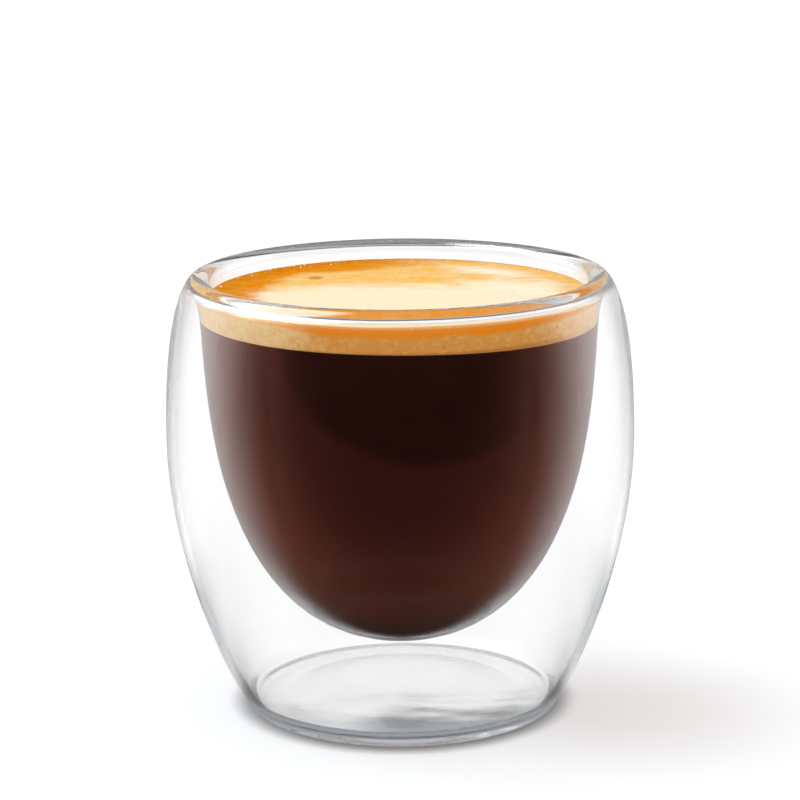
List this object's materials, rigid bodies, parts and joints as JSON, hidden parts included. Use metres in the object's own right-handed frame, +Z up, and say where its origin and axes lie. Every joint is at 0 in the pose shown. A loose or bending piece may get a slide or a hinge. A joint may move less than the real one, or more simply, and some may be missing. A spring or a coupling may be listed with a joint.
{
  "type": "double espresso in a double-wall glass",
  "caption": "Double espresso under a layer of crema in a rounded, handleless double-wall glass that stands on a flat foot.",
  "frame": {"origin": "middle of the foot, on the plane the glass stands on", "axes": "+Z up along the glass's axis of symmetry, +X to the right and -Y towards the viewer; the glass is round, so X and Y are free"},
  "size_m": [0.068, 0.068, 0.0641],
  "materials": {
    "clear_glass": "polished clear borosilicate",
    "coffee": "dark opaque liquid",
    "crema": "fine foam"
  },
  "bodies": {
    "root": {"glass": "clear_glass", "coffee": "coffee", "crema": "crema"}
  },
  "joints": []
}
